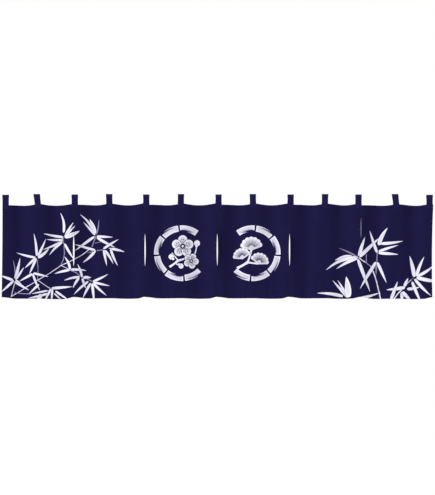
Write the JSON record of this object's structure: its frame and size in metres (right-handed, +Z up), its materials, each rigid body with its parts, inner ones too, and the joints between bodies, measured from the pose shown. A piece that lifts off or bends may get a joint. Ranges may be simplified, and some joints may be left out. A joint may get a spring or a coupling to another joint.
{
  "type": "noren curtain",
  "caption": "Short shop-front curtain of slit cotton panels hung from cloth rod loops, with white bamboo sprigs and broken rings left undyed on navy.",
  "frame": {"origin": "on the line of the hanging rod, at the middle of the curtain", "axes": "+X along the curtain to the viewer's right, +Z up, and the printed face looks along -Y"},
  "size_m": [2.0465, 0.0291, 0.4988],
  "materials": {
    "panel_cloth": "matte plain-weave cotton, dyed navy with the pattern left undyed",
    "loop_cloth": "matte plain-weave cotton, folded and stitched"
  },
  "bodies": {
    "root": {"panel_1": "panel_cloth", "panel_2": "panel_cloth", "panel_3": "panel_cloth", "panel_4": "panel_cloth", "panel_5": "panel_cloth", "panel_6": "panel_cloth", "loop_01": "loop_cloth", "loop_02": "loop_cloth", "loop_03": "loop_cloth", "loop_04": "loop_cloth", "loop_05": "loop_cloth", "loop_06": "loop_cloth", "loop_07": "loop_cloth", "loop_08": "loop_cloth", "loop_09": "loop_cloth", "loop_10": "loop_cloth", "loop_11": "loop_cloth", "loop_12": "loop_cloth", "loop_13": "loop_cloth"}
  },
  "joints": []
}
